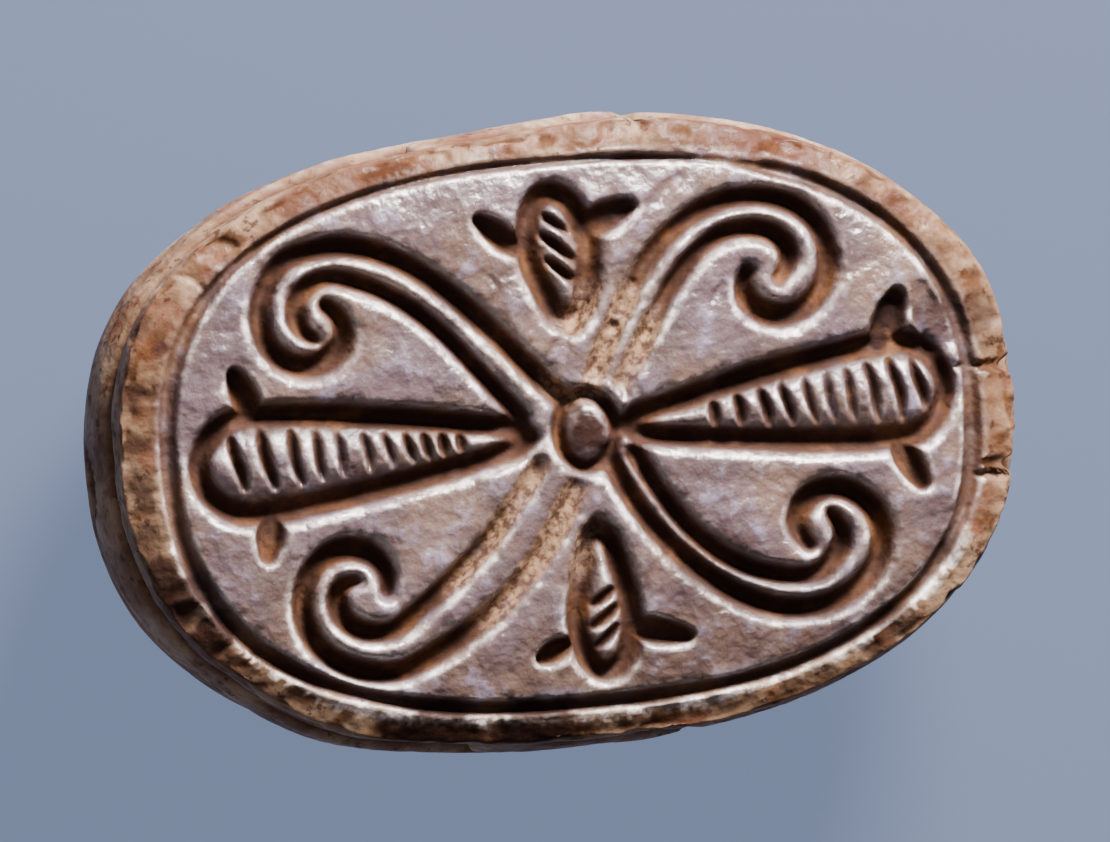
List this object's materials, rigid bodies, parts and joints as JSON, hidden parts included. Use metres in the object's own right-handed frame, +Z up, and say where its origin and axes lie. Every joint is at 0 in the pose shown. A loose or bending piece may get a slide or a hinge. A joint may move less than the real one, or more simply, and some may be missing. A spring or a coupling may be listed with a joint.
{
  "type": "scarab amulet",
  "caption": "Carved stone scarab lying on its domed beetle back, flat oval face up, cut with a cross of buds and curling scrolls inside a border line, pierced lengthwise.",
  "frame": {"origin": "centre of the bounding box in plan, on the plane the worn flat of the back rests on", "axes": "+X along the length towards the beetle's head, +Y across, +Z up out of the carved face"},
  "size_m": [0.0176, 0.0118, 0.0076],
  "materials": {
    "glazed_steatite": "worn cream and mauve-brown steatite with a faint polish and dark dirt in the cuts"
  },
  "bodies": {
    "root": {"scarab": "glazed_steatite"}
  },
  "joints": []
}
